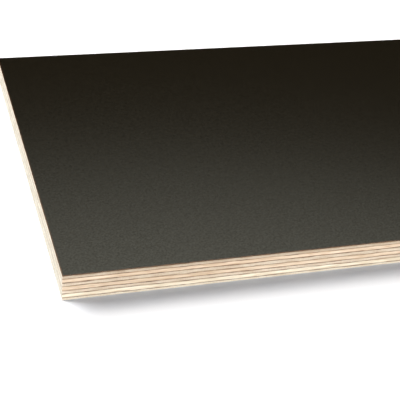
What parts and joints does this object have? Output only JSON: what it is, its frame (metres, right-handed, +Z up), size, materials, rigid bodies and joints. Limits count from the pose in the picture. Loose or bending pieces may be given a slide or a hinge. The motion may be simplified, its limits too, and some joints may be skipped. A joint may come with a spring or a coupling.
{
  "type": "film-faced plywood board",
  "caption": "Flat rectangular board of cross-banded birch veneers with a dark brown phenolic film on its upper face and square sawn edges that show the plies.",
  "frame": {"origin": "centre of the underside", "axes": "+X along the front edge, +Y from the front edge to the back edge, +Z up through the film"},
  "size_m": [0.21, 0.148, 0.0092],
  "materials": {
    "phenolic_film": "satin dark brown phenolic resin film",
    "birch_across": "raw birch veneer, grain across the front edge",
    "birch_along": "raw birch veneer, grain along the front edge"
  },
  "bodies": {
    "root": {"back_veneer": "birch_across", "lower_crossband": "birch_along", "lower_core_veneer": "birch_across", "centre_crossband": "birch_along", "upper_core_veneer": "birch_across", "upper_crossband": "birch_along", "face_veneer": "birch_across", "top_film": "phenolic_film"}
  },
  "joints": []
}
